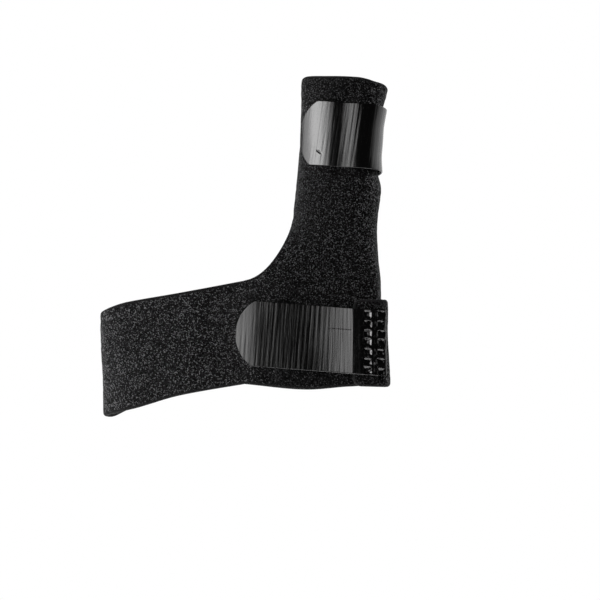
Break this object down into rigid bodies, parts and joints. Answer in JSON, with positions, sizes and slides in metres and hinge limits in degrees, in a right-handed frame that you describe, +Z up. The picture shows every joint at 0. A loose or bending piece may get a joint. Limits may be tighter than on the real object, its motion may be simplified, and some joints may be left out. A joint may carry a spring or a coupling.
{
  "type": "finger splint",
  "caption": "One-piece loop-faced cloth splint: a sleeve round one finger, a palm panel and a band round the hand, each closed by a round-ended moulded hook tape.",
  "frame": {"origin": "middle of the hand loop, where the palm sits in it", "axes": "+Z up along the fingers, -Y the palm side that faces the camera, +X the thumb side"},
  "size_m": [0.0906, 0.0372, 0.1069],
  "materials": {
    "loop_cloth": "black brushed loop face on thin foam, matt with a fine speckle of loop tips",
    "hook_plastic": "black moulded hook tape seen from its smooth back, glossy, finely ribbed across"
  },
  "bodies": {
    "root": {"splint_wrap": "loop_cloth", "finger_tab": "hook_plastic", "hand_tab": "hook_plastic"}
  },
  "joints": []
}
